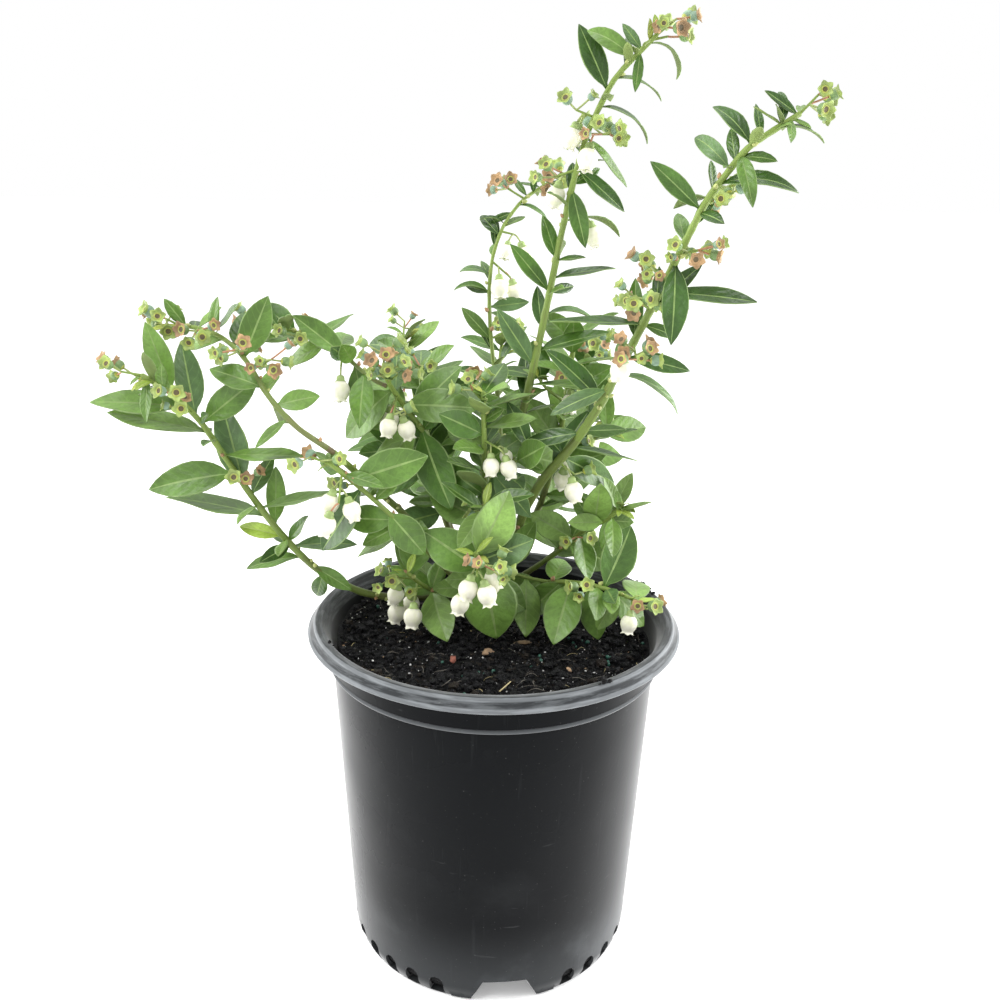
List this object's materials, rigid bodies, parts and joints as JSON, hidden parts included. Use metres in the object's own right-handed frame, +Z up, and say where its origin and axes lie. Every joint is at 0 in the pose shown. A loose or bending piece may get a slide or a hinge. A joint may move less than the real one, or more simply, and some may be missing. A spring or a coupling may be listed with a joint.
{
  "type": "potted blueberry bush",
  "caption": "Young blueberry bush in bell flower and green fruit, with arching yellow-green canes and small oval leaves, in a round black plastic nursery pot of potting mix.",
  "frame": {"origin": "on the pot's axis, on the ground, at the flat centre pad under the pot", "axes": "+Z up along the pot's axis; -Y towards the viewer of the picture; +X to that viewer's right"},
  "size_m": [0.2942, 0.2223, 0.4152],
  "materials": {
    "black_plastic": "satin black with grey scuffs and dust",
    "potting_mix": "damp black crumbs with white perlite",
    "old_wood": "rough brown bark",
    "cane_bark": "smooth yellow-green bark, brown at the foot",
    "foliage": "mid and dark green leaves with a soft sheen, white bells, green fruits"
  },
  "bodies": {
    "root": {"pot": "black_plastic", "soil": "potting_mix", "stump": "old_wood", "cane_low_left": "cane_bark", "cane_mid_left": "cane_bark", "cane_outer_left": "cane_bark", "cane_mid_left_lower": "cane_bark", "cane_upper_left": "cane_bark", "cane_flat_left": "cane_bark", "cane_slender": "cane_bark", "cane_tall": "cane_bark", "cane_right": "cane_bark", "cane_front": "cane_bark", "cane_front_left": "cane_bark", "cane_low_right": "cane_bark", "cane_rim_right": "cane_bark", "cane_centre_left": "cane_bark", "cane_centre": "cane_bark", "cane_centre_right": "cane_bark", "cane_back_left": "cane_bark", "cane_back": "cane_bark", "cane_back_right": "cane_bark", "shoot_low_left": "foliage", "shoot_outer_left": "foliage", "shoot_mid_left_lower": "foliage", "shoot_upper_left": "foliage", "shoot_flat_left": "foliage", "shoot_slender": "foliage", "shoot_tall": "foliage", "shoot_right": "foliage", "shoot_front": "foliage", "shoot_front_left": "foliage", "shoot_low_right": "foliage", "shoot_rim_right": "foliage", "shoot_centre_left": "foliage", "shoot_centre": "foliage", "shoot_centre_right": "foliage", "shoot_back_left": "foliage", "shoot_back": "foliage", "shoot_back_right": "foliage"}
  },
  "joints": []
}
